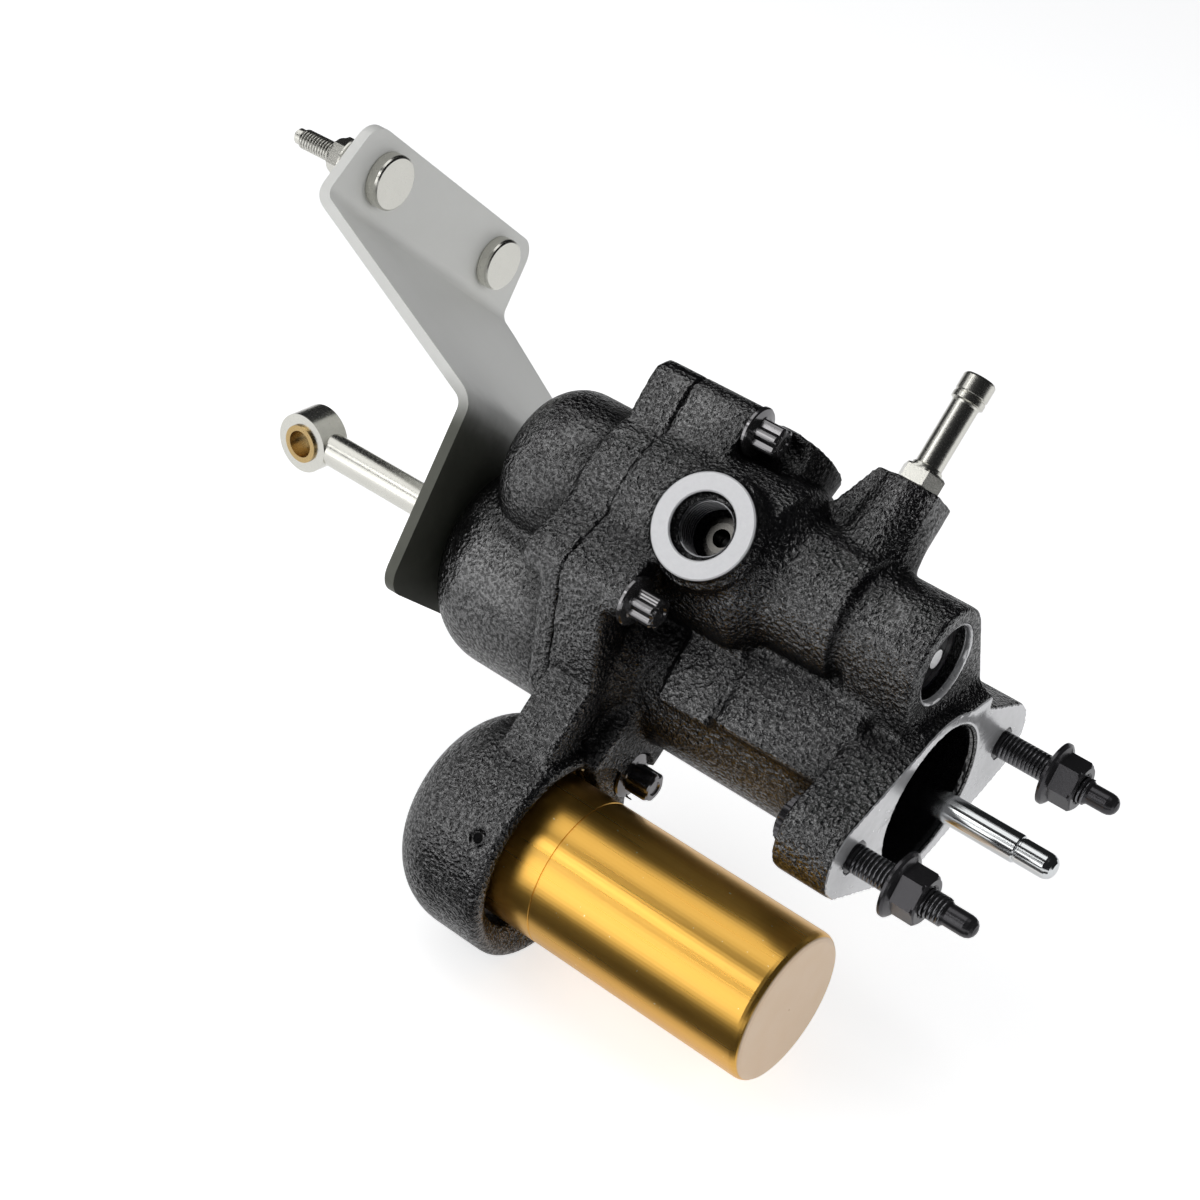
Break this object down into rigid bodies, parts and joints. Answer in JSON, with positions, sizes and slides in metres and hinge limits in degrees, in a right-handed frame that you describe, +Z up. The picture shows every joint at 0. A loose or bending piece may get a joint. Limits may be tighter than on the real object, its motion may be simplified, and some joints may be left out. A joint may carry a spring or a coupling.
{
  "type": "hydraulic brake booster",
  "caption": "Cast hydraulic brake booster with power piston, spool valve, gold accumulator can, return nipple, master cylinder studs and a bent sheet bracket.",
  "frame": {"origin": "on the piston bore's axis in the master cylinder face, midway between the two master cylinder studs", "axes": "+X along the bore towards the master cylinder, +Y along the line of the master cylinder studs, +Z up from the piston bore to the spool bore"},
  "size_m": [0.351, 0.2009, 0.2098],
  "materials": {
    "black_cast": "semi-gloss black paint over a coarse casting",
    "black_steel": "black oxide",
    "zinc_steel": "pale zinc plate",
    "gold_can": "gold, polished",
    "chrome_rod": "polished",
    "ground_steel": "ground",
    "spring_steel": "plain",
    "seal_rubber": "matt",
    "brass_seat": "turned"
  },
  "bodies": {
    "booster": {"booster_housing": "black_cast", "housing_cover": "black_cast", "cover_gasket": "seal_rubber", "cover_bolts": "black_steel", "inlet_port_seat": "ground_steel", "return_nipple": "zinc_steel", "spool_plug": "black_steel", "spool_plug_seal": "seal_rubber", "spool_retaining_ring": "spring_steel", "spool_spring": "spring_steel", "piston_seal": "seal_rubber", "return_spring": "spring_steel", "input_rod_seal": "seal_rubber", "accumulator_can": "gold_can", "accumulator_seal": "seal_rubber", "accumulator_retaining_ring": "spring_steel", "accumulator_check_valve": "brass_seat", "mounting_bracket": "zinc_steel", "bracket_hub_nut": "zinc_steel", "firewall_studs": "zinc_steel", "firewall_nuts": "zinc_steel", "master_cylinder_studs": "black_steel", "master_cylinder_nuts": "black_steel"},
    "piston": {"power_piston": "ground_steel", "output_rod": "chrome_rod", "output_rod_retainer": "ground_steel", "lever_pin": "ground_steel"},
    "input": {"input_rod": "zinc_steel", "input_rod_bush": "brass_seat"},
    "spool": {"spool_valve": "ground_steel", "spool_yoke": "ground_steel"},
    "lever": {"lever": "ground_steel"},
    "gas_piston": {"accumulator_piston": "ground_steel", "accumulator_piston_seal": "seal_rubber"}
  },
  "joints": [
    {"name": "piston_slide", "type": "slide", "parent": "booster", "child": "piston", "axis": [1, 0, 0], "range_m": [0, 0.03], "stiffness_N_per_m": 2500, "springref_m": -0.02, "deforming": ["return_spring"]},
    {"name": "input_slide", "type": "slide", "parent": "booster", "child": "input", "axis": [1, 0, 0], "range_m": [0, 0.032]},
    {"name": "spool_slide", "type": "slide", "parent": "booster", "child": "spool", "axis": [1, 0, 0], "range_m": [0, 0.003], "stiffness_N_per_m": 1500, "springref_m": -0.004, "deforming": ["spool_spring"]},
    {"name": "lever_swing", "type": "hinge", "parent": "piston", "child": "lever", "pos_m": [-0.1425, 0, 0.0115], "axis": [0, -1, 0], "range_deg": [0, 41.6]},
    {"name": "gas_piston_slide", "type": "slide", "parent": "booster", "child": "gas_piston", "axis": [1, 0, 0], "range_m": [0, 0.04], "stiffness_N_per_m": 3000, "springref_m": -0.02}
  ],
  "couplings": [
    {"joint": "input_slide", "follows": "piston_slide", "ratio": 1.0666},
    {"joint": "spool_slide", "follows": "piston_slide", "ratio": 0.1},
    {"joint": "lever_swing", "follows": "piston_slide", "rad_per_m": 24.19}
  ]
}
